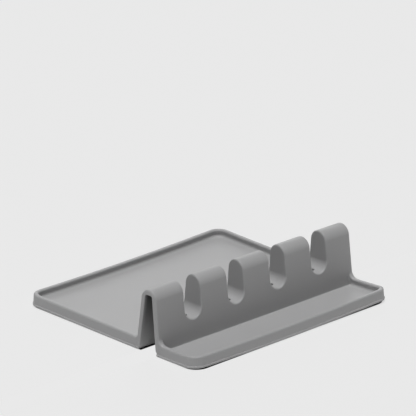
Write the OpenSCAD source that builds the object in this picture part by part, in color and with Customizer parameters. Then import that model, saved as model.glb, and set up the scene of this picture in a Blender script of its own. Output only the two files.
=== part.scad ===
// Spoon rest for four utensils: one soft moulding with a large drip tray behind a slotted
// ridge and a narrow tray in front of it. Its sections meet face to face and fill the moulding.
// Frame: X along the ridge, -Y to the front tray, +Z up, origin under the middle of the whole.

/* [Overall size] */
// Length along the ridge, over the base lip
overall_l = 200; // [170:1:240]
// Middle of the ridge to the rear edge
rear_d = 140; // [90:0.5:170]
// Middle of the ridge to the front edge
front_d = 50.5; // [42:0.5:70]
// Thickness of both tray floors
floor_t = 3.6; // [2.5:0.1:4.5]

/* [Rims] */
// Height of the rims
rim_h = 9; // [7.5:0.1:10]
// Thickness of the rims
rim_t = 4; // [3:0.1:5]
// Rounding of the top edges of the rims
rim_edge_r = 1.2; // [0.5:0.1:1.4]
// Hollow rounding where a rim meets its floor
rim_foot_r = 2; // [1:0.1:2.6]
// Plan rounding of the two rear corners
rear_corner_r = 12; // [8.5:0.5:20]
// Plan rounding of the two front corners
front_corner_r = 10; // [8.5:0.5:20]
// How far the base lip stands out
lip_w = 0.5; // [0.3:0.1:0.8]
// Height of the base lip
lip_h = 1.5; // [1:0.1:2.2]

/* [Ridge] */
// Height of the ridge
ridge_h = 50; // [42:0.5:56]
// Width of the ridge at the foot, over both walls
ridge_w = 24.5; // [23:0.1:32]
// Lean of each ridge wall from upright, in degrees
ridge_lean = 5.6; // [4:0.1:7.5]
// Thickness of the ridge walls and of the crown
wall_t = 4.2; // [3.8:0.1:4.6]
// Rounding where the ridge meets the tray floors
toe_r = 1.2; // [0.6:0.1:2]
// Rounding of the lower inner edges of the hollow
hollow_edge_r = 2; // [0.8:0.1:2.4]
// Rounding of the upper inner corners of the hollow
hollow_top_r = 1.8; // [0.6:0.1:2]
// Sweep that carries the front rim up the ridge
front_web_r = 7; // [3:0.5:7]
// Sweep that carries the rear rim up the ridge
rear_web_r = 3.5; // [2:0.5:6]
// Lean of the ridge's two end faces, in degrees
end_draft = 0.5; // [0.3:0.1:3]

/* [Slots] */
// From each end of the whole to the middle of the nearest slot
slot_inset = 35.5; // [30:0.5:42]
// Width of a slot at its round bottom
slot_w = 16; // [10:0.1:17]
// Height of the lowest point of a slot
slot_z = 20; // [19.3:0.1:24]
// Lean of the slot sides, in degrees
slot_draft = 0.5; // [0.3:0.1:3]
// Thickness of the skin that lines a slot
liner_t = 3.2; // [2.5:0.1:3.4]
// How far the saddle round a slot reaches past its skin
saddle_margin = 0.8; // [0.6:0.1:1.2]

/* [Hidden] */
slot_count = 4;
arc_steps = 6;
round_fn = 96;
overrun = 1;
silicone = [0.58, 0.58, 0.585];

half_l = overall_l / 2;
end_x = half_l - lip_w;
ridge_y = (front_d - rear_d) / 2;
rim_in = lip_w + rim_t + rim_foot_r;
corner_half = (90 + ridge_lean) / 2;

slot_pitch = (overall_l - 2 * slot_inset) / (slot_count - 1);
slot_r = slot_w / 2;
slot_axis_z = slot_z + slot_r;
saddle_half = slot_r + liner_t + saddle_margin;
wall_top_z = slot_z - liner_t - saddle_margin;
top_z = ridge_h + overrun;

crown_r = (ridge_w / 2 - ridge_h * tan(ridge_lean)) * cos(ridge_lean) / (1 - sin(ridge_lean));
crown_z = ridge_h - crown_r;
cavity_top_z = ridge_h - wall_t;
toe_out = face_out(floor_t) + toe_r / tan(corner_half);
front_web = web_radius(front_web_r);
rear_web = web_radius(rear_web_r);

// Half the ridge's width at height z, outside and inside the wall
function face_out(z) = ridge_w / 2 - z * tan(ridge_lean);
function face_in(z) = face_out(z) - wall_t / cos(ridge_lean);

// Radius of the sweep from rim to ridge, which stays below the top of the ridge wall
function web_radius(r) = min(r, (wall_top_z - rim_h) * tan(corner_half) / cos(ridge_lean));

// Distance from the ridge's middle at which a sweep of radius r has come down to the rim
function web_end(r) = face_out(rim_h) + r / tan(corner_half);

// Middle of slot i, counted from 0 at the -X end
function slot_x(i) = (i - (slot_count - 1) / 2) * slot_pitch;

// Half the width of a slot at height z, above its round bottom
function slot_half(z) = slot_r + (z - slot_axis_z) * tan(slot_draft);

function unit(v) = v / norm(v);

// Points of the arc of radius r that rounds corner b between a and c
function rounded(a, b, c, r) =
    let (
        u = unit(a - b),
        v = unit(c - b),
        half = acos(u * v) / 2,
        centre = b + unit(u + v) * r / sin(half),
        from = unit(b + u * r / tan(half) - centre),
        to = unit(b + v * r / tan(half) - centre),
        turn = 180 - 2 * half
    )
    [for (i = [0 : arc_steps])
        let (s = i / arc_steps)
        centre + r * (sin((1 - s) * turn) * from + sin(s * turn) * to) / sin(turn)];

// Cross-section of a rim: x is the distance inwards from the lip, y the height.
// With edge 0 the top stays square.
function rim_section(top, edge) =
    let (
        inner = lip_w + rim_t,
        base_out = [0, 0],
        top_out = [lip_w, top],
        top_in = [inner, top],
        foot = [inner, floor_t],
        floor_in = [rim_in, floor_t]
    )
    concat(
        [base_out, [0, lip_h - lip_w], [lip_w, lip_h]],
        edge > 0 ? rounded([lip_w, lip_h], top_out, top_in, edge) : [top_out],
        edge > 0 ? rounded(top_out, top_in, foot, edge) : [top_in],
        rounded(top_in, foot, floor_in, rim_foot_r),
        [[rim_in, 0]]
    );

// Straight stretch of rim along +Y from y = 0, with its outer side towards +X at half_l
module rim_run(length, top, edge) {
    translate([half_l, length, 0])
        rotate([90, 0, 0])
            linear_extrude(length)
                polygon([for (p = rim_section(top, edge)) [-p.x, p.y]]);
}

module rim_corner(r) {
    rotate_extrude(angle = 90, $fn = round_fn)
        polygon([for (p = rim_section(rim_h, rim_edge_r)) [r - p.x, p.y]]);
}

// Rim on three sides of a tray that opens towards y = 0
module tray_rim(depth, r) {
    for (side = [0, 1])
        mirror([side, 0, 0]) {
            rim_run(depth - r, rim_h, rim_edge_r);
            translate([half_l - r, depth - r, 0])
                rim_corner(r);
        }
    translate([half_l - r, depth - half_l, 0])
        rotate([0, 0, 90])
            rim_run(overall_l - 2 * r, rim_h, rim_edge_r);
}

// Floor of a tray from y = 0 to the foot of its rim
module tray_floor(depth, r) {
    width = overall_l - 2 * rim_in;
    linear_extrude(floor_t) {
        translate([-width / 2, 0])
            square([width, depth - r]);
        translate([r - width / 2, 0])
            square([width - 2 * r, depth]);
        for (side = [-1, 1])
            translate([side * (width / 2 - r), depth - r])
                circle(r, $fn = round_fn);
    }
}

// Outline of the ridge across X: leaning sides under a full round crown
module ridge_outline() {
    tangent_y = crown_r * cos(ridge_lean);
    tangent_z = crown_z + crown_r * sin(ridge_lean);
    polygon([[-ridge_w / 2, 0], [ridge_w / 2, 0], [tangent_y, tangent_z], [-tangent_y, tangent_z]]);
    translate([0, crown_z])
        circle(crown_r, $fn = round_fn);
}

// Outline of the hollow inside the ridge, open below
module cavity_outline() {
    foot = [face_in(-overrun), -overrun];
    top = [face_in(cavity_top_z), cavity_top_z];
    mirrored = [-top.x, top.y];
    corner = rounded(foot, top, mirrored, hollow_top_r);
    last = len(corner) - 1;
    polygon(concat(
        [[-foot.x, foot.y], foot],
        corner,
        [for (i = [0 : last]) [-corner[last - i].x, corner[last - i].y]]
    ));
}

// Stretches an outline drawn across the ridge along the whole length
module along_ridge() {
    rotate([90, 0, 90])
        translate([0, 0, -half_l - overrun])
            linear_extrude(overall_l + 2 * overrun)
                children();
}

// Stretches an outline drawn from the front through the ridge
module through_ridge() {
    translate([0, ridge_w / 2 + overrun, 0])
        rotate([90, 0, 0])
            linear_extrude(ridge_w + 2 * overrun)
                children();
}

// Space between the two end faces: the lip at the foot, upright, then leaning in
module between_ends() {
    end_top = end_x - (top_z - wall_top_z) * tan(end_draft);
    reach = 2 * max(rear_d, front_d);
    right = [[half_l, 0], [half_l, lip_h - lip_w], [end_x, lip_h], [end_x, wall_top_z], [end_top, top_z]];
    last = len(right) - 1;
    translate([0, reach / 2, 0])
        rotate([90, 0, 0])
            linear_extrude(reach)
                polygon(concat(right, [for (i = [0 : last]) [-right[last - i].x, right[last - i].y]]));
}

// Cross-section of one ridge wall with its rounded foot, y outwards from the ridge's middle
module wall_outline() {
    foot_in = [face_in(0), 0];
    foot_out = [toe_out, 0];
    top_in = [face_in(wall_top_z), wall_top_z];
    top_out = [face_out(wall_top_z), wall_top_z];
    toe = [face_out(floor_t), floor_t];
    toe_end = [toe_out, floor_t];
    polygon(concat(
        [foot_out],
        rounded(foot_out, foot_in, top_in, hollow_edge_r),
        [top_in, top_out],
        rounded(top_out, toe, toe_end, toe_r)
    ));
}

// Sweep of the rim's top up the face of the ridge at the +X end, about an axis along X
module web_sweep(r) {
    depth = rim_edge_r + r * (1 / sin(corner_half) - 1);
    deep_in = [r + depth, end_x - rim_t];
    deep_out = [r + depth, end_x];
    edge_in = [r, end_x - rim_t];
    edge_out = [r, end_x];
    translate([0, web_end(r), rim_h + r])
        rotate([0, 90, 0])
            rotate([0, 0, ridge_lean - 90])
                rotate_extrude(angle = 90 - ridge_lean, $fn = round_fn)
                    polygon(concat(
                        [deep_in, deep_out],
                        rounded(deep_out, edge_out, edge_in, rim_edge_r),
                        rounded(edge_out, edge_in, deep_in, rim_edge_r)
                    ));
}

// One wall of the ridge below the slots, with the ends of its tray's rim, towards +Y
module ridge_wall(web_r) {
    start = ridge_w / 2 - wall_t / 2;
    intersection() {
        along_ridge()
            wall_outline();
        between_ends();
    }
    for (side = [0, 1])
        mirror([side, 0, 0]) {
            translate([0, start, 0])
                rim_run(web_end(web_r) - start, rim_h - rim_edge_r, 0);
            web_sweep(web_r);
        }
}

module drip_tray_floor() {
    color(silicone)
        translate([0, ridge_y + toe_out, 0])
            tray_floor(rear_d - toe_out - rim_in, rear_corner_r - rim_in);
}

module drip_tray_rim() {
    color(silicone)
        translate([0, ridge_y + web_end(rear_web), 0])
            tray_rim(rear_d - web_end(rear_web), rear_corner_r);
}

module front_tray_floor() {
    color(silicone)
        translate([0, ridge_y - toe_out, 0])
            mirror([0, 1, 0])
                tray_floor(front_d - toe_out - rim_in, front_corner_r - rim_in);
}

module front_tray_rim() {
    color(silicone)
        translate([0, ridge_y - web_end(front_web), 0])
            mirror([0, 1, 0])
                tray_rim(front_d - web_end(front_web), front_corner_r);
}

module ridge_back_wall() {
    color(silicone)
        translate([0, ridge_y, 0])
            ridge_wall(rear_web);
}

module ridge_front_wall() {
    color(silicone)
        translate([0, ridge_y, 0])
            mirror([0, 1, 0])
                ridge_wall(front_web);
}

// Round bottom of slot i: a skin right through the ridge, in a saddle in each ridge wall
module slot_cradle(i) {
    color(silicone)
        translate([slot_x(i), ridge_y, 0])
            difference() {
                intersection() {
                    along_ridge()
                        ridge_outline();
                    through_ridge()
                        translate([-saddle_half, wall_top_z])
                            square([2 * saddle_half, slot_axis_z - wall_top_z]);
                }
                difference() {
                    along_ridge()
                        cavity_outline();
                    through_ridge()
                        translate([0, slot_axis_z])
                            circle(slot_r + liner_t, $fn = round_fn);
                }
                through_ridge()
                    translate([0, slot_axis_z])
                        circle(slot_r, $fn = round_fn);
            }
}

// Side of a post towards slot i, from the foot up: past the saddle, then along the slot.
// With skin 0 it is the outside, with skin liner_t the inside. Side is -1 left, 1 right of the slot.
function slot_side(i, side, skin, foot_z) = [
    [slot_x(i) + side * (saddle_half - (skin > 0 ? overrun : 0)), foot_z],
    [slot_x(i) + side * (saddle_half - (skin > 0 ? overrun : 0)), slot_axis_z],
    [slot_x(i) + side * (slot_half(slot_axis_z) + skin), slot_axis_z],
    [slot_x(i) + side * (slot_half(top_z) + skin), top_z]
];

// Side of a post at an end of the ridge
function open_side(side, foot_z) = [
    [side * (half_l + overrun), foot_z],
    [side * (half_l + overrun), top_z]
];

// Front view of post i, or of the space inside it
module post_front(i, skin, foot_z) {
    left = i == 0 ? open_side(-1, foot_z) : slot_side(i - 1, 1, skin, foot_z);
    right = i == slot_count ? open_side(1, foot_z) : slot_side(i, -1, skin, foot_z);
    last = len(right) - 1;
    polygon(concat(left, [for (k = [0 : last]) right[last - k]]));
}

// Post i between two slots, or between a slot and an end: hollow, with a skin towards each slot
module ridge_post(i) {
    color(silicone)
        translate([0, ridge_y, 0])
            difference() {
                intersection() {
                    along_ridge()
                        ridge_outline();
                    through_ridge()
                        post_front(i, 0, wall_top_z);
                    between_ends();
                }
                intersection() {
                    along_ridge()
                        cavity_outline();
                    through_ridge()
                        post_front(i, liner_t, wall_top_z - overrun);
                }
            }
}

drip_tray_floor();
drip_tray_rim();
front_tray_floor();
front_tray_rim();
ridge_back_wall();
ridge_front_wall();
slot_cradle(0);  // slot_cradle_1
slot_cradle(1);  // slot_cradle_2
slot_cradle(2);  // slot_cradle_3
slot_cradle(3);  // slot_cradle_4
ridge_post(0);  // ridge_post_1
ridge_post(1);  // ridge_post_2
ridge_post(2);  // ridge_post_3
ridge_post(3);  // ridge_post_4
ridge_post(4);  // ridge_post_5
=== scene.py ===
import bpy
import math
import numpy as np
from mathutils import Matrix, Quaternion, Vector


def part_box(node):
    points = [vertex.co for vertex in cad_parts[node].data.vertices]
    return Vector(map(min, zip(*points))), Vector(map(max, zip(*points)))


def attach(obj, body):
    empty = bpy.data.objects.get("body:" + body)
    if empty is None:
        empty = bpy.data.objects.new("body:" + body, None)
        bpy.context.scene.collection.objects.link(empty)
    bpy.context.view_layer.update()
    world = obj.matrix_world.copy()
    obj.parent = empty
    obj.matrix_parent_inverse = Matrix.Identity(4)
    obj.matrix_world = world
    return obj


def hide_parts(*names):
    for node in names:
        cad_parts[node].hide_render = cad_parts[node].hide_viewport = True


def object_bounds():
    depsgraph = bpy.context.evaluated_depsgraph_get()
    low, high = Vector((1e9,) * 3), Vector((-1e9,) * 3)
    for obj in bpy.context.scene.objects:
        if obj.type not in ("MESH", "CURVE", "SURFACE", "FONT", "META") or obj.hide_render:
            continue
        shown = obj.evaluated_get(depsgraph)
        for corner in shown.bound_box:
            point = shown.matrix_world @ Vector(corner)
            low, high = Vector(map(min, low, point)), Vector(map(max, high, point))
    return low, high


# Spoon rest: one grey silicone moulding, shown as the sections of its frame.
# Lengths are in millimetres until a mesh is made. X runs along the ridge, the front tray is at -Y.

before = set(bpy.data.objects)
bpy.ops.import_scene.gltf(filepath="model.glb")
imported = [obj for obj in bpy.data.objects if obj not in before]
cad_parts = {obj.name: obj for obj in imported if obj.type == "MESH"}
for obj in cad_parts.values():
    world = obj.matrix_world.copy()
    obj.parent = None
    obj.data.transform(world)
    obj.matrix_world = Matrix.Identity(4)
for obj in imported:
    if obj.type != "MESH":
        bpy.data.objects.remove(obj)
cadLow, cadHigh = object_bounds()
mm = 0.001
print("frame loaded:", len(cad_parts), "nodes")


def boxOf(node):
    low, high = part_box(node)
    return np.array(low) / mm, np.array(high) / mm


cradleNodes = sorted(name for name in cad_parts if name.startswith("slot_cradle"))
postNodes = sorted(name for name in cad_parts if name.startswith("ridge_post"))
cradleLow, cradleHigh = boxOf(cradleNodes[0])
floorLow, floorHigh = boxOf("drip_tray_floor")
rimLow, rimHigh = boxOf("drip_tray_rim")
frontFloorLow, frontFloorHigh = boxOf("front_tray_floor")
frontRimLow, frontRimHigh = boxOf("front_tray_rim")

outline = {
    "halfLength": cadHigh.x / mm,
    "halfDepth": (cadHigh.y - cadLow.y) / 2 / mm,
    "middleY": (cadHigh.y + cadLow.y) / 2 / mm,
    "rearCorner": 12.0,
    "frontCorner": 10.0,
}

tray = {
    "floorTop": floorHigh[2],
    "rimTop": rimHigh[2],
    "rimWall": 4.3,
    "rimEdge": 1.4,  # rounding of the rim's two top edges
    "rimFoot": 2.0,  # hollow rounding down to the floor
    "lipOut": 0.5,
    "lipTop": 1.5,
    "lipEdge": 0.35,
    "baseEdge": 0.25,
    "wallLean": math.radians(4),  # outer faces lean in, away from the ridge
}
outerWalls = tray["lipOut"] + tray["rimWall"]

ridge = {
    "middleY": (cradleLow[1] + cradleHigh[1]) / 2,
    "top": cadHigh.z / mm,
    "footWidth": 24.5,
    "lean": math.radians(5.6),
    "wall": 4.2,
    "endLean": math.radians(0.5),
    "endLeanFrom": cradleLow[2],
    "toe": 0.6,  # crease between ridge and tray floor
    "crease": 1.2,  # upright crease between ridge and rim
    "frontSweep": 5.8,  # rim running up the ridge
    "rearSweep": 3.5,
    "hollowTop": 1.8,
    "hollowMouth": 0.5,
    "hollowFoot": 2.0,
    "paintedShadeStart": 4.0,  # how far in from the ends the painted shade in the hollow is at its darkest
    "paintedShadeRise": 1.1,  # power of the height, from the foot to the top
    "paintedShadeSkin": 0.6,  # how far from the hollow's walls a point still counts as on them
}

slot = {
    "centres": [sum(boxOf(name)[i][0] for i in (0, 1)) / 2 for name in cradleNodes],
    "radius": 8.0,
    "axisZ": cradleHigh[2],
    "lean": math.radians(0.5),
    "skin": 3.2,
    "skinCorner": 1.0,
    "edge": 1.1,
    "shift": 0.6,  # along the ridge, and up, from the places in the frame
    "rise": 0.4,
    "wellRadius": 2.2,  # the small well in the middle of each slot's bottom
    "wellDepth": 2.2,
    "wellEdge": 0.3,
    "wellDrift": 0.012,  # the wells stand a little wider apart than the slots
}
slot["middles"] = [slot["shift"] + centre for centre in slot["centres"]]
slot["wells"] = [slot["shift"] + centre * (1 + slot["wellDrift"]) for centre in slot["centres"]]
slot["bottomZ"] = slot["axisZ"] + slot["rise"] - slot["radius"]

# How far the soft trays curl up off the table towards their corners, and the shift,
# in half lengths, that makes the right-hand corners curl more
curl = {
    "rear": 1.6,
    "rearShift": 0.35,
    "front": 1.4,
    "frontShift": 0.14,
}

# How the ridge's left end stands: its feet pushed to the rear and apart, its crown a little low
stance = {
    "feet": 1.4,
    "spread": 2.2,
    "spreadBlend": 4.0,  # from the ridge's middle to where its rear leg moves in full
    "spreadTop": 42.0,
    "crown": 0.7,
    "fade": 1.5,  # power of the way from the ridge's middle to its left end
}

rearEdge = outline["middleY"] + outline["halfDepth"]
frontEdge = outline["middleY"] - outline["halfDepth"]
sinLean, cosLean = math.sin(ridge["lean"]), math.cos(ridge["lean"])
halfAtTop = ridge["footWidth"] / 2 - ridge["top"] * math.tan(ridge["lean"])
crownRadius = halfAtTop * cosLean / (1 - sinLean)


def joined(a, b, radius, cosine=0.0):  # two solids, the inner corner filled by an arc
    u, v = radius - a, radius - b
    inCorner = (u > 0) & (v > 0) & (u > v * cosine) & (v > u * cosine)
    squared = np.maximum(u * u + v * v - 2 * cosine * u * v, 0) / (1 - cosine * cosine)
    return np.where(inCorner, radius - np.sqrt(squared), np.minimum(a, b))


def common(a, b, radius, cosine=0.0):  # what two solids share, its outer corner rounded
    return -joined(-a, -b, radius, cosine)


def outlineDistance(x, y):  # plan of the whole moulding, over the lip
    radius = np.where(y > outline["middleY"], outline["rearCorner"], outline["frontCorner"])
    alongX = np.abs(x) - outline["halfLength"] + radius
    alongY = np.abs(y - outline["middleY"]) - outline["halfDepth"] + radius
    corner = np.hypot(np.maximum(alongX, 0), np.maximum(alongY, 0))
    return np.minimum(np.maximum(alongX, alongY), 0) + corner - radius


def ridgeDistances(y, z):  # outer and inner outline of the ridge, seen along X
    side = np.abs(y - ridge["middleY"])
    up = z - (ridge["top"] - crownRadius)
    flat = side * cosLean + up * sinLean
    aboveTangent = up * cosLean > side * sinLean
    outer = np.where(aboveTangent, np.hypot(side, up), flat) - crownRadius
    hollowSide = flat - crownRadius + ridge["wall"]
    hollowTop = z - ridge["top"] + ridge["wall"]
    return outer, common(hollowSide, hollowTop, ridge["hollowTop"], sinLean)


def fromNearest(x, middles):
    return np.min([np.abs(x - middle) for middle in middles], axis=0)


def slotDistance(x, z):  # the slots, seen from the front: round below, sides leaning out
    side = fromNearest(x, slot["middles"])
    up = z - slot["axisZ"] - slot["rise"]
    flat = side * math.cos(slot["lean"]) - up * math.sin(slot["lean"])
    onSide = side * math.sin(slot["lean"]) + up * math.cos(slot["lean"]) > 0
    return np.where(onSide, flat, np.hypot(side, up)) - slot["radius"]


def wellDistance(x, y, z):
    around = np.hypot(fromNearest(x, slot["wells"]), y - ridge["middleY"]) - slot["wellRadius"]
    return np.maximum(around, slot["bottomZ"] - slot["wellDepth"] - z)


def curlHeight(x, y):
    along = x / outline["halfLength"]
    rearFoot = ridge["middleY"] + ridge["footWidth"] / 2
    frontFoot = ridge["middleY"] - ridge["footWidth"] / 2
    rear = np.clip((y - rearFoot) / (rearEdge - rearFoot), 0, 1)
    front = np.clip((y - frontFoot) / (frontEdge - frontFoot), 0, 1)
    rearLift = curl["rear"] * (along + curl["rearShift"]) ** 2 * rear ** 2
    return rearLift + curl["front"] * (along + curl["frontShift"]) ** 2 * front ** 2


def relaxed(x, y, z):  # where a place would be if the rest lay flat and straight
    atLeft = np.clip(-x / outline["halfLength"], 0, 1) ** stance["fade"]
    toRear = np.clip((rearEdge - y) / (rearEdge - ridge["middleY"]), 0, 1)
    behind = np.clip((y - ridge["middleY"]) / stance["spreadBlend"], 0, 1)
    pushed = stance["feet"] * np.clip(1 - z / ridge["top"], 0, 1)
    pushed = pushed + stance["spread"] * behind * np.clip(1 - z / stance["spreadTop"], 0, 1)
    z = z - curlHeight(x, y) + stance["crown"] * atLeft * z / ridge["top"]
    return x, y - pushed * toRear * atLeft, z


def roomDistance(hollow, slots):  # the hollow, which leaves a skin round each slot
    return common(hollow, slot["skin"] - slots, slot["skinCorner"])


def mouldDistance(x, y, z):
    x, y, z = relaxed(x, y, z)
    plan = outlineDistance(x, y)
    outer, hollow = ridgeDistances(y, z)
    slots = slotDistance(x, z)

    # Rims, and their sweeps up the ridge
    rimTop = z - tray["rimTop"]
    rimInner = -(plan + outerWalls)
    sweepRadius = np.where(y < ridge["middleY"], ridge["frontSweep"], ridge["rearSweep"])
    sweepTop = joined(rimTop, outer, sweepRadius, sinLean)
    rim = common(rimInner, rimTop, tray["rimEdge"])
    sweep = common(rimInner, sweepTop, tray["rimEdge"])
    body = np.minimum(joined(rim, outer, ridge["crease"]), sweep)

    # Tray floors, then the upright outer faces and the base lip
    foot = np.clip(outer, ridge["toe"], tray["rimFoot"])
    body = joined(body, z - tray["floorTop"], foot)
    pastFoot = np.abs(y - ridge["middleY"]) - ridge["footWidth"] / 2
    fromRidge = np.clip(pastFoot / ridge["frontSweep"], 0, 1)
    wallUp = np.clip(z - tray["lipTop"], 0, tray["rimTop"] - tray["lipTop"])
    lean = np.maximum(z - ridge["endLeanFrom"], 0) * math.tan(ridge["endLean"])
    lean = lean + wallUp * math.tan(tray["wallLean"]) * fromRidge
    body = common(body, plan + tray["lipOut"] + lean, tray["rimEdge"])
    lip = common(plan, z - tray["lipTop"], tray["lipEdge"])
    body = joined(body, lip, tray["lipEdge"])
    body = common(body, -z, tray["baseEdge"])

    # Slots, and the hollow
    body = common(body, -slots, slot["edge"])
    body = common(body, -wellDistance(x, y, z), slot["wellEdge"])
    room = roomDistance(hollow, slots)
    mouth = np.clip(ridge["hollowFoot"] * 2 - z, ridge["hollowMouth"], ridge["hollowFoot"])
    return common(body, -room, mouth)


def paintedShadeDepth(points):  # painted shade: 0 outside, rising with height on the walls of the hollow
    x, y, z = relaxed(*points.T)
    room = roomDistance(ridgeDistances(y, z)[1], slotDistance(x, z))
    within = np.clip((outline["halfLength"] - np.abs(x)) / ridge["paintedShadeStart"], 0, 1)
    onWall = np.clip(1 - np.abs(room) / ridge["paintedShadeSkin"], 0, 1)
    return onWall * within * np.clip(z / ridge["top"], 0, 1) ** ridge["paintedShadeRise"]


def mouldNormals(points, reach=0.01):
    parts = []
    for axis in range(3):
        step = np.zeros(3)
        step[axis] = reach
        parts.append(mouldDistance(*(points + step).T) - mouldDistance(*(points - step).T))
    slope = np.stack(parts, axis=1) / (2 * reach)
    return slope / np.maximum(np.linalg.norm(slope, axis=1, keepdims=True), 1e-6)


net = {
    "fine": 0.5,  # spacing where the form curves
    "coarse": 3.0,
    "growth": 0.3,  # how fast the spacing widens per millimetre away from it
    "margin": 1.3,
}


def gradedLines(low, high, bands):
    places = [low - net["margin"]]
    while places[-1] < high + net["margin"]:
        here = places[-1]
        away = min(max(start - here, here - end, 0) for start, end in bands)
        places.append(here + min(net["fine"] + net["growth"] * away, net["coarse"]))
    return np.array(places)


def netLines():
    halfX = outline["halfLength"]
    corner = max(outline["rearCorner"], outline["frontCorner"])
    slotReach = slot["radius"] + slot["skin"]
    ridgeReach = ridge["footWidth"] / 2 + ridge["rearSweep"]
    xBands = [(c - slotReach, c + slotReach) for c in slot["centres"]]
    xBands += [(-halfX, corner - halfX), (halfX - corner, halfX)]
    yBands = [(frontEdge, frontEdge + corner), (rearEdge - corner, rearEdge)]
    yBands += [(ridge["middleY"] - ridgeReach, ridge["middleY"] + ridgeReach)]
    zBands = [(0, slot["axisZ"]), (ridge["top"] - crownRadius, ridge["top"])]
    return (
        gradedLines(-halfX, halfX, xBands),
        gradedLines(frontEdge, rearEdge, yBands),
        gradedLines(0, ridge["top"], zBands),
    )


def netSurface(lines):
    slices = [mouldDistance(x, lines[1][:, None], lines[2][None, :]) for x in lines[0]]
    field = np.stack(slices)
    inside = field < 0
    count = np.zeros([n - 1 for n in field.shape], np.int8)
    corners = [(i, j, k) for i in (0, 1) for j in (0, 1) for k in (0, 1)]
    for i, j, k in corners:
        count += inside[i:i + count.shape[0], j:j + count.shape[1], k:k + count.shape[2]]
    mixed = (count > 0) & (count < 8)
    cells = np.argwhere(mixed)
    number = np.full(count.shape, -1, np.int64)
    number[mixed] = np.arange(len(cells))

    # A point in each cell that the surface crosses: the mean of its edges' crossings
    total, hits = np.zeros((len(cells), 3)), np.zeros(len(cells))
    for axis in range(3):
        for corner in corners:
            if corner[axis]:
                continue
            start = cells + corner
            end = start.copy()
            end[:, axis] += 1
            a, b = field[tuple(start.T)], field[tuple(end.T)]
            crosses = (a < 0) != (b < 0)
            share = np.where(crosses, a / np.where(crosses, a - b, 1), 0)
            for other in range(3):
                low, high = lines[other][start[:, other]], lines[other][end[:, other]]
                total[:, other] += crosses * (low + share * (high - low))
            hits += crosses
    points = total / hits[:, None]

    quads = []
    for axis in range(3):
        across, beyond = (axis + 1) % 3, (axis + 2) % 3
        first = np.take(inside, range(field.shape[axis] - 1), axis)
        second = np.take(inside, range(1, field.shape[axis]), axis)
        edges = np.argwhere(first != second)
        ring = []
        for stepAcross, stepBeyond in ((-1, -1), (0, -1), (0, 0), (-1, 0)):
            cell = edges.copy()
            cell[:, across] += stepAcross
            cell[:, beyond] += stepBeyond
            ring.append(number[tuple(cell.T)])
        ring = np.stack(ring, axis=1)
        inward = ~first[tuple(edges.T)]
        ring[inward] = ring[inward][:, ::-1]
        quads.append(ring)
    return points, np.concatenate(quads)


def settled(points, rounds=4):  # moves the points exactly onto the surface
    for _ in range(rounds):
        depth = mouldDistance(*points.T)
        points = points - mouldNormals(points) * depth[:, None]
    return np.clip(points, np.array(cadLow) / mm, np.array(cadHigh) / mm)


def meshFrom(name, points, faces):
    mesh = bpy.data.meshes.new(name)
    mesh.from_pydata((points * mm).tolist(), [], faces.tolist())
    mesh.validate()
    return mesh


netPoints, netQuads = netSurface(netLines())
netPoints = settled(netPoints)
wholeMesh = meshFrom("moulding", netPoints, netQuads)
print("moulding:", len(netPoints), "points,", len(netQuads), "faces")


class Nodes:  # adds nodes to a tree from their type, settings and socket values
    def __init__(self, tree):
        self.tree = tree

    def add(self, kind, settings=None, **sockets):
        node = self.tree.nodes.new(kind)
        for name, value in (settings or {}).items():
            setattr(node, name, value)
        for name, value in sockets.items():
            self.feed(self.find(node, name), value)
        return node

    def find(self, node, name):  # by its label, or else by its identifier
        wanted = name.replace("_", " ").lower()
        known = [socket for socket in node.inputs if socket.enabled]
        named = [socket for socket in known if socket.name.lower() == wanted]
        return (named or [socket for socket in known if socket.identifier.lower() == wanted])[0]

    def feed(self, socket, value):
        if isinstance(value, Value):
            value = value.socket
        if isinstance(value, bpy.types.NodeSocket):
            self.tree.links.new(value, socket)
        else:
            socket.default_value = value

    def value(self, kind, output=0, settings=None, **sockets):
        return Value(self, self.add(kind, settings, **sockets).outputs[output])

    def sum(self, kind, operation, *operands):  # a Math or Vector Math node, fed in order
        node = self.add(kind, {"operation": operation})
        for socket, operand in zip(node.inputs, operands):
            self.feed(socket, operand)
        return Value(self, node.outputs[0])

    def math(self, operation, *operands):
        return self.sum("ShaderNodeMath", operation, *operands)

    def vector(self, operation, *operands):
        return self.sum("ShaderNodeVectorMath", operation, *operands)

    def scaled(self, vector, scale):
        return self.value("ShaderNodeVectorMath", 0, {"operation": "SCALE"}, Vector=vector, Scale=scale)

    def ramp(self, value, start, stop):  # smoothly from 0 to 1
        return self.value("ShaderNodeMapRange", 0, {"interpolation_type": "SMOOTHSTEP"}, Value=value,
                          From_Min=start, From_Max=stop, To_Min=0.0, To_Max=1.0)


class Value:  # a socket that can be used in sums
    def __init__(self, nodes, socket):
        self.nodes, self.socket = nodes, socket

    def __add__(self, other):
        return self.nodes.math("ADD", self, other)

    def __sub__(self, other):
        return self.nodes.math("SUBTRACT", self, other)

    def __rsub__(self, other):
        return self.nodes.math("SUBTRACT", other, self)

    def __mul__(self, other):
        return self.nodes.math("MULTIPLY", self, other)

    def __pow__(self, other):
        return self.nodes.math("POWER", self, other)

    def __abs__(self):
        return self.nodes.math("ABSOLUTE", self)

    def atLeast(self, other):
        return self.nodes.math("MAXIMUM", self, other)

    __radd__, __rmul__ = __add__, __mul__


silicone = {
    "grey": (0.40, 0.40, 0.403),
    "patchSize": 35.0,  # sizes and heights in millimetres
    "patchDepth": 0.02,  # depths are shares of the tone
    "grainSize": 0.45,
    "grainDepth": 0.035,
    "speckSize": 2.2,
    "speckShare": 0.16,
    "speckDepth": 0.12,
    "roughness": 0.50,
    "roughnessSpread": 0.12,
    "rippleSize": 3.5,
    "rippleHeight": 0.012,
    "grainHeight": 0.012,
    "ior": 1.45,
    "paintedShadeDark": 0.9,  # how much darker the hollow is painted at its top, a painted shade
}


def emptyMaterial(name):
    material = bpy.data.materials.new(name)
    material.use_nodes = True
    material.node_tree.nodes.clear()
    return material, Nodes(material.node_tree)


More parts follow.
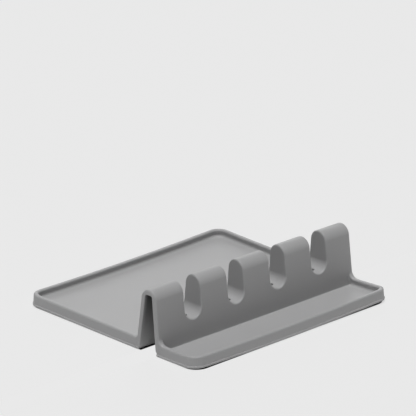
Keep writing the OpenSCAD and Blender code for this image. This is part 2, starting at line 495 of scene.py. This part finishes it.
def siliconeMaterial():
    s = silicone
    material, nodes = emptyMaterial("silicone")
    place = nodes.value("ShaderNodeTexCoord", "Object")

    def noise(size, detail):  # about 0, within half a unit
        return nodes.value("ShaderNodeTexNoise", 0, {"noise_dimensions": "3D"}, Vector=place,
                           Scale=1 / (size * mm), Detail=detail, Roughness=0.5) - 0.5

    patches = noise(s["patchSize"], 3)
    grain = noise(s["grainSize"], 2)
    ripple = noise(s["rippleSize"], 1)
    cells = nodes.value("ShaderNodeTexVoronoi", "Distance", {"feature": "F1"}, Vector=place,
                        Scale=1 / (s["speckSize"] * mm), Randomness=1.0)
    specks = 1 - nodes.ramp(cells, s["speckShare"] / 2, s["speckShare"])

    # Painted shade: the hollow's walls are darkened towards the top, standing in for the light the hollow
    # loses
    recess = nodes.value("ShaderNodeAttribute", "Fac", {"attribute_name": "recess"})
    tone = 1 + patches * (2 * s["patchDepth"]) + grain * (2 * s["grainDepth"]) + specks * s["speckDepth"]
    colour = nodes.scaled(s["grey"], tone * (1 - recess * s["paintedShadeDark"]))
    roughness = s["roughness"] + patches * s["roughnessSpread"] + grain * s["roughnessSpread"]
    height = ripple * (s["rippleHeight"] * mm) + grain * (s["grainHeight"] * mm)
    bump = nodes.value("ShaderNodeBump", 0, Height=height, Distance=1.0, Strength=1.0)
    shader = nodes.value("ShaderNodeBsdfPrincipled", 0, Base_Color=colour, Roughness=roughness,
                         IOR=s["ior"], Normal=bump)
    nodes.add("ShaderNodeOutputMaterial", Surface=shader)
    return material


plate = {
    "cornerSteps": 16,
    "thick": net["margin"],  # how far it stands past the floor, above and below
}


def plateObject(name, low, high, corner, toward):  # a tray's floor, its two far corners round
    near, far = (low[1], high[1]) if toward > 0 else (high[1], low[1])
    points = [(low[0], near), (high[0], near)]
    for side, centreX in ((1, high[0] - corner), (-1, low[0] + corner)):
        for step in range(plate["cornerSteps"] + 1):
            turn = math.pi / 2 * step / plate["cornerSteps"]
            turn = turn if side > 0 else math.pi / 2 - turn
            points.append((centreX + side * corner * math.cos(turn),
                           far - toward * corner * (1 - math.sin(turn))))
    count = len(points)
    levels = (low[2] - plate["thick"], high[2] + plate["thick"])
    verts = [(x * mm, y * mm, z * mm) for z in levels for x, y in points]
    faces = [list(range(count))[::-1], list(range(count, 2 * count))]
    faces += [[i, (i + 1) % count, count + (i + 1) % count, count + i] for i in range(count)]
    if toward < 0:
        faces = [face[::-1] for face in faces]
    mesh = bpy.data.meshes.new(name)
    mesh.from_pydata(verts, [], faces)
    return bpy.data.objects.new(name, mesh)


def treeSocket(tree, name, kind, side="INPUT"):
    return tree.interface.new_socket(name, in_out=side, socket_type="NodeSocket" + kind).identifier


def finishTree(nodes, geometry, finish, output):  # plain geometry with its material
    real = nodes.value("GeometryNodeRealizeInstances", 0, Geometry=geometry)
    finished = nodes.value("GeometryNodeSetMaterial", 0, Geometry=real, Material=finish)
    nodes.add("NodeGroupOutput", **{output: finished})


def sectionTree():  # what lies between two corners, inside the shape or outside it
    tree = bpy.data.node_groups.new("cutSection", "GeometryNodeTree")
    treeSocket(tree, "Moulding", "Geometry")
    sockets = {
        "low": treeSocket(tree, "Low Corner", "Vector"),
        "high": treeSocket(tree, "High Corner", "Vector"),
        "shape": treeSocket(tree, "Shape", "Object"),
        "keepShape": treeSocket(tree, "Keep Shape", "Bool"),
        "finish": treeSocket(tree, "Finish", "Material"),
    }
    treeSocket(tree, "Section", "Geometry", "OUTPUT")
    nodes = Nodes(tree)
    given = nodes.add("NodeGroupInput").outputs
    low, high = given["Low Corner"], given["High Corner"]
    cube = nodes.value("GeometryNodeMeshCube", "Mesh", Size=nodes.vector("SUBTRACT", high, low))
    middle = nodes.scaled(nodes.vector("ADD", high, low), 0.5)
    cube = nodes.value("GeometryNodeTransform", 0, Geometry=cube, Translation=middle)

    def boolean(operation, first, second):
        node = nodes.add("GeometryNodeMeshBoolean", {"operation": operation, "solver": "MANIFOLD"})
        firstInput = "Mesh 1" if operation == "DIFFERENCE" else "Mesh 2"
        nodes.feed(node.inputs[firstInput], first)
        nodes.feed(node.inputs["Mesh 2"], second)
        return node.outputs["Mesh"]

    shape = nodes.add("GeometryNodeObjectInfo", {"transform_space": "ORIGINAL"}, Object=given["Shape"])
    within = boolean("INTERSECT", given["Moulding"], cube)
    kept = boolean("INTERSECT", within, shape.outputs["Geometry"])
    left = boolean("DIFFERENCE", within, shape.outputs["Geometry"])
    chosen = nodes.value("GeometryNodeSwitch", 0, {"input_type": "GEOMETRY"}, Switch=given["Keep Shape"],
                         **{"False": left, "True": kept})
    finishTree(nodes, chosen, given["Finish"], "Section")
    return tree, sockets


def saddleTree():  # one block round the bottom of each slot, repeated along the ridge
    tree = bpy.data.node_groups.new("saddleBlocks", "GeometryNodeTree")
    treeSocket(tree, "Mesh", "Geometry")
    sockets = {
        "count": treeSocket(tree, "Count", "Int"),
        "first": treeSocket(tree, "First Middle", "Vector"),
        "pitch": treeSocket(tree, "Pitch", "Vector"),
        "size": treeSocket(tree, "Block Size", "Vector"),
        "finish": treeSocket(tree, "Finish", "Material"),
    }
    treeSocket(tree, "Blocks", "Geometry", "OUTPUT")
    nodes = Nodes(tree)
    given = nodes.add("NodeGroupInput").outputs
    line = nodes.value("GeometryNodeMeshLine", 0, {"mode": "OFFSET"}, Count=given["Count"],
                       Start_Location=given["First Middle"], Offset=given["Pitch"])
    cube = nodes.value("GeometryNodeMeshCube", "Mesh", Size=given["Block Size"])
    blocks = nodes.value("GeometryNodeInstanceOnPoints", 0, Points=line, Instance=cube)
    finishTree(nodes, blocks, given["Finish"], "Blocks")
    return tree, sockets


def treeResult(name, startMesh, tree, sockets, values):  # the tree's result as a plain mesh
    carrier = bpy.data.objects.new(name, startMesh)
    bpy.context.scene.collection.objects.link(carrier)
    modifier = carrier.modifiers.new("nodes", "NODES")
    modifier.node_group = tree
    for key, value in values.items():
        modifier[sockets[key]] = value
    evaluated = carrier.evaluated_get(bpy.context.evaluated_depsgraph_get())
    mesh = bpy.data.meshes.new_from_object(evaluated)
    bpy.data.objects.remove(carrier)
    mesh.name = name
    return mesh


grey = siliconeMaterial()
cutTree, cutSockets = sectionTree()
blockTree, blockSockets = saddleTree()

saddleLow, saddleHigh = cradleLow.copy(), cradleHigh.copy()
saddleLow[1] = ridge["middleY"] - ridge["footWidth"]
saddleHigh[1] = ridge["middleY"] + ridge["footWidth"]
saddleMesh = treeResult("saddles", bpy.data.meshes.new("empty"), blockTree, blockSockets, {
    "count": len(slot["centres"]),
    "first": [v * mm for v in (saddleLow + saddleHigh) / 2],
    "pitch": [(slot["centres"][1] - slot["centres"][0]) * mm, 0, 0],
    "size": [v * mm for v in saddleHigh - saddleLow],
    "finish": grey,
})
saddles = bpy.data.objects.new("saddles", saddleMesh)
rimReach = outerWalls + tray["rimFoot"]
rearPlate = plateObject("rearPlate", floorLow, floorHigh, outline["rearCorner"] - rimReach, 1)
frontPlate = plateObject("frontPlate", frontFloorLow, frontFloorHigh, outline["frontCorner"] - rimReach, -1)

over = net["margin"]
farX = outline["halfLength"] + over
rearY, frontY, topZ = rearEdge + over, frontEdge - over, ridge["top"] + over
rearRimY, frontRimY = rimLow[1], frontRimHigh[1]
wallTop = saddleLow[2]

# Each section: from one corner to the other, and only inside the shape or only outside it
sections = {
    "drip_tray_floor": ((-farX, frontY, -over), (farX, rearY, topZ), rearPlate, True),
    "front_tray_floor": ((-farX, frontY, -over), (farX, rearY, topZ), frontPlate, True),
    "drip_tray_rim": ((-farX, rearRimY, -over), (farX, rearY, topZ), rearPlate, False),
    "front_tray_rim": ((-farX, frontY, -over), (farX, frontRimY, topZ), frontPlate, False),
    "ridge_back_wall": ((-farX, ridge["middleY"], -over), (farX, rearRimY, wallTop), rearPlate, False),
    "ridge_front_wall": ((-farX, frontRimY, -over), (farX, ridge["middleY"], wallTop), frontPlate, False),
}
for node in cradleNodes:
    low, high = boxOf(node)
    sections[node] = ((low[0], saddleLow[1], low[2]), (high[0], saddleHigh[1], high[2]), saddles, True)
stops = [-farX, *slot["centres"], farX]
for node, left, right in zip(postNodes, stops, stops[1:]):
    sections[node] = ((left, saddleLow[1], wallTop), (right, saddleHigh[1], topZ), saddles, False)


shading = {
    "offForm": 0.15,  # a face further from the form than this is a cut face
    "alongForm": 0.6,  # so is one whose normal, as a cosine, is less along the form's
}


def readAll(items, key, width=3, kind=float):
    values = np.empty(len(items) * width, kind)
    items.foreach_get(key, values)
    return values.reshape(-1, width) if width > 1 else values


def shadeFromForm(mesh):  # cut faces stay flat, the rest takes its normals from the form itself
    points = readAll(mesh.vertices, "co") / mm
    centres = readAll(mesh.polygons, "center") / mm
    faceNormals = readAll(mesh.polygons, "normal")
    normals = mouldNormals(points)
    # Painted shade on the hollow's walls, kept as an attribute for the material
    mesh.attributes.new("recess", "FLOAT", "POINT").data.foreach_set("value", paintedShadeDepth(points))
    onForm = np.abs(mouldDistance(*centres.T)) < shading["offForm"]
    smooth = onForm & (np.sum(faceNormals * mouldNormals(centres), axis=1) > shading["alongForm"])
    corners = readAll(mesh.loops, "vertex_index", 1, np.int32)
    owner = np.repeat(np.arange(len(mesh.polygons)), readAll(mesh.polygons, "loop_total", 1, np.int32))
    cornerNormals = np.where(smooth[owner][:, None], normals[corners], faceNormals[owner])
    mesh.polygons.foreach_set("use_smooth", np.ones(len(mesh.polygons), bool))
    mesh.normals_split_custom_set(cornerNormals.tolist())


for node, (low, high, shape, keepShape) in sections.items():
    mesh = treeResult(node + "_form", wholeMesh, cutTree, cutSockets, {
        "low": [v * mm for v in low],
        "high": [v * mm for v in high],
        "shape": shape,
        "keepShape": keepShape,
        "finish": grey,
    })
    shadeFromForm(mesh)
    piece = bpy.data.objects.new(node + "_skin", mesh)
    bpy.context.scene.collection.objects.link(piece)
    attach(piece, "root")
    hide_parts(node)
    print("section", node, len(mesh.polygons))
for cutter in (saddles, rearPlate, frontPlate):
    bpy.data.objects.remove(cutter)

stage = {
    "floorHalf": 8.0,  # metres
    "drop": 0.30,  # millimetres of air under the base, for the thin contact line
    "white": 0.90,
    "seen": 0.815,  # the floor's flat tone in the picture
    "shadowShare": 0.25,  # how much of its real light and shadow shows in that tone
    "shadowInset": 0.8,  # further in than this the floor below the trays shows its real shade, and its colour is painted dark as well, a painted contact shadow
    "shadowBlend": 0.5,
    # painted shadow: how much of the floor's white is taken away below the trays
    "paintedShadowDark": 0.93,
    "hollowShift": 1.3,  # the pale strip under the hollow follows the pushed feet
    "hollowBlend": 0.8,
    "fill": 0.095,
    # For each lamp its bearing, height and width in degrees, then its strength
    "lamps": {
        "overheadLight": (206, 81.5, 22, 0.76),
        "backLight": (45, 20, 30, 0.14),
    },
}


def stageFloor():
    material, nodes = emptyMaterial("paleFloor")
    place = nodes.add("ShaderNodeSeparateXYZ", Vector=nodes.value("ShaderNodeTexCoord", "Object"))
    alongX, alongY = Value(nodes, place.outputs[0]), Value(nodes, place.outputs[1])

    def beyond(value, middle, reach):  # how far outside a band
        return abs(value - middle * mm) - reach * mm

    # 1 on the open floor and under the hollow, 0 under the rest of the moulding
    corner, inset, shift = outline["rearCorner"], stage["shadowInset"], stage["hollowShift"]
    outX = beyond(alongX, 0, outline["halfLength"] - corner).atLeast(0.0)
    outY = beyond(alongY, outline["middleY"], outline["halfDepth"] - corner).atLeast(0.0)
    edge = (outX * outX + outY * outY) ** 0.5
    openFloor = nodes.ramp(edge, (corner - inset - stage["shadowBlend"]) * mm, (corner - inset) * mm)
    legInside = ridge["footWidth"] / 2 - ridge["wall"]
    outHollow = beyond(alongY, ridge["middleY"] + shift, legInside + shift)
    hollow = 1 - nodes.ramp(outHollow, -stage["hollowBlend"] * mm, 0.0)

    # Painted shadow: the floor's colour is darkened below the trays, for the thin dark contact line
    tone = 1 - (1 - openFloor.atLeast(hollow)) * stage["paintedShadowDark"]
    diffuse = nodes.value("ShaderNodeBsdfDiffuse", 0, Color=nodes.scaled([stage["white"]] * 3, tone))
    flat = nodes.value("ShaderNodeEmission", 0, Color=[stage["seen"]] * 3 + [1], Strength=1.0)
    rays = nodes.add("ShaderNodeLightPath").outputs
    seen = Value(nodes, rays["Is Camera Ray"])
    for kind in ("Is Glossy Ray", "Is Transmission Ray"):
        seen = seen.atLeast(rays[kind])
    flatShare = (openFloor * (1 - stage["shadowShare"])).atLeast(hollow)
    mix = nodes.add("ShaderNodeMixShader")
    for socket, value in zip(mix.inputs, (seen * flatShare, diffuse, flat)):
        nodes.feed(socket, value)
    nodes.add("ShaderNodeOutputMaterial", Surface=mix.outputs[0])

    half, z = stage["floorHalf"], -stage["drop"] * mm
    mesh = bpy.data.meshes.new("floor")
    points = [(-half, -half, z), (half, -half, z), (half, half, z), (-half, half, z)]
    mesh.from_pydata(points, [], [(0, 1, 2, 3)])
    mesh.materials.append(material)
    item = bpy.data.objects.new("floor", mesh)
    bpy.context.scene.collection.objects.link(item)


def stageLight():
    for name, (azimuth, elevation, width, strength) in stage["lamps"].items():
        lamp = bpy.data.lights.new(name, "SUN")
        lamp.energy = strength * math.pi
        lamp.angle = math.radians(width)
        item = bpy.data.objects.new(name, lamp)
        item.rotation_euler = (0, math.radians(90 - elevation), math.radians(azimuth))
        bpy.context.scene.collection.objects.link(item)
    world = bpy.data.worlds.new("room")
    world.use_nodes = True
    backdrop = world.node_tree.nodes["Background"]
    backdrop.inputs["Color"].default_value = (1, 1, 1, 1)
    backdrop.inputs["Strength"].default_value = stage["fill"]
    bpy.context.scene.world = world


view = {
    "place": (-1458.66, -1598.05, 849.25),  # millimetres
    "azimuth": -42.421,  # degrees from straight in front, negative to the left
    "elevation": 19.668,
    "roll": -1.055,
    "focalPixels": 3060.9,
    "framePixels": 416.0,
    "sensorWidth": 36,
}


def stageCamera():
    turn, rise = math.radians(view["azimuth"]), math.radians(view["elevation"])
    level = math.cos(rise)
    back = Vector((math.sin(turn) * level, -math.cos(turn) * level, math.sin(rise)))
    lens = bpy.data.cameras.new("camera")
    lens.sensor_width = view["sensorWidth"]
    lens.lens = view["focalPixels"] / view["framePixels"] * view["sensorWidth"]
    camera = bpy.data.objects.new("camera", lens)
    camera.location = Vector(view["place"]) * mm
    camera.rotation_mode = "QUATERNION"
    roll = Quaternion((0, 0, 1), math.radians(view["roll"]))
    camera.rotation_quaternion = (-back).to_track_quat("-Z", "Y") @ roll
    bpy.context.scene.collection.objects.link(camera)
    bpy.context.scene.camera = camera


stageFloor()
stageLight()
stageCamera()
bpy.context.scene.view_settings.view_transform = "Standard"
print("stage ready")
